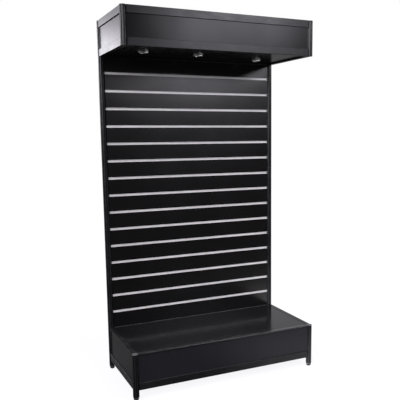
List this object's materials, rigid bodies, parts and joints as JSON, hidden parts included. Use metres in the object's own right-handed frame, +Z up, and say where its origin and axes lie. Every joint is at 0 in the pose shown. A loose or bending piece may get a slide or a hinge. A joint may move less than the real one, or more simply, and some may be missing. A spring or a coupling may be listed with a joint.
{
  "type": "slatwall display bay",
  "caption": "Free-standing slatwall bay: grooved board with metal inserts between tall posts, a plinth with a display deck, and a projecting header with tilting downlights.",
  "frame": {"origin": "on the floor, in the middle of the footprint", "axes": "+X to the right seen from the front, +Y from the front to the back, +Z up"},
  "size_m": [1.12, 0.534, 2.042],
  "materials": {
    "frame": "black anodised, satin",
    "infill_panel": "black foil, semi-gloss",
    "laminate_board": "black melamine on MDF",
    "aluminium_insert": "mill satin",
    "post_cap": "moulded, light grey",
    "foot_rubber": "moulded, black",
    "lamp_metal": "satin chrome",
    "driver_case": "moulded, white"
  },
  "bodies": {
    "bay": {"upright_left": "frame", "upright_right": "frame", "base_post_left": "frame", "base_post_right": "frame", "header_post_left": "frame", "header_post_right": "frame", "base_cap_left": "post_cap", "base_cap_right": "post_cap", "base_beam_front": "frame", "base_beam_right": "frame", "base_beam_rear": "frame", "base_beam_left": "frame", "base_rail_front": "frame", "base_rail_right": "frame", "base_rail_rear": "frame", "base_rail_left": "frame", "header_lower_beam_front": "frame", "header_lower_beam_right": "frame", "header_lower_beam_rear": "frame", "header_lower_beam_left": "frame", "header_upper_beam_front": "frame", "header_upper_beam_right": "frame", "header_upper_beam_rear": "frame", "header_upper_beam_left": "frame", "base_panel_front": "infill_panel", "base_panel_left": "infill_panel", "base_panel_right": "infill_panel", "header_fascia": "infill_panel", "header_panel_left": "infill_panel", "header_panel_right": "infill_panel", "header_panel_rear": "infill_panel", "deck_board": "laminate_board", "soffit_board": "laminate_board", "slat_board": "laminate_board", "slat_insert_01": "aluminium_insert", "slat_insert_02": "aluminium_insert", "slat_insert_03": "aluminium_insert", "slat_insert_04": "aluminium_insert", "slat_insert_05": "aluminium_insert", "slat_insert_06": "aluminium_insert", "slat_insert_07": "aluminium_insert", "slat_insert_08": "aluminium_insert", "slat_insert_09": "aluminium_insert", "slat_insert_10": "aluminium_insert", "slat_insert_11": "aluminium_insert", "slat_insert_12": "aluminium_insert", "slat_insert_13": "aluminium_insert", "slat_insert_14": "aluminium_insert", "slat_insert_15": "aluminium_insert", "downlight_bezel_1": "lamp_metal", "downlight_bezel_2": "lamp_metal", "downlight_bezel_3": "lamp_metal", "led_driver": "driver_case"},
    "foot_front_left": {"foot_front_left": "foot_rubber"},
    "foot_front_right": {"foot_front_right": "foot_rubber"},
    "foot_rear_left": {"foot_rear_left": "foot_rubber"},
    "foot_rear_right": {"foot_rear_right": "foot_rubber"},
    "downlight_lamp_1": {"downlight_lamp_1": "lamp_metal"},
    "downlight_lamp_2": {"downlight_lamp_2": "lamp_metal"},
    "downlight_lamp_3": {"downlight_lamp_3": "lamp_metal"}
  },
  "joints": [
    {"name": "foot_front_left_height", "type": "slide", "parent": "bay", "child": "foot_front_left", "axis": [0, 0, 1], "range_m": [-0.015, 0]},
    {"name": "foot_front_right_height", "type": "slide", "parent": "bay", "child": "foot_front_right", "axis": [0, 0, 1], "range_m": [-0.015, 0]},
    {"name": "foot_rear_left_height", "type": "slide", "parent": "bay", "child": "foot_rear_left", "axis": [0, 0, 1], "range_m": [-0.015, 0]},
    {"name": "foot_rear_right_height", "type": "slide", "parent": "bay", "child": "foot_rear_right", "axis": [0, 0, 1], "range_m": [-0.015, 0]},
    {"name": "downlight_lamp_1_tilt", "type": "hinge", "parent": "bay", "child": "downlight_lamp_1", "pos_m": [-0.37, 0.01, 1.859], "axis": [1, 0, 0], "range_deg": [-25, 25]},
    {"name": "downlight_lamp_2_tilt", "type": "hinge", "parent": "bay", "child": "downlight_lamp_2", "pos_m": [-0.048, 0.016, 1.859], "axis": [1, 0, 0], "range_deg": [-25, 25]},
    {"name": "downlight_lamp_3_tilt", "type": "hinge", "parent": "bay", "child": "downlight_lamp_3", "pos_m": [0.366, 0.098, 1.859], "axis": [1, 0, 0], "range_deg": [-25, 25]}
  ]
}
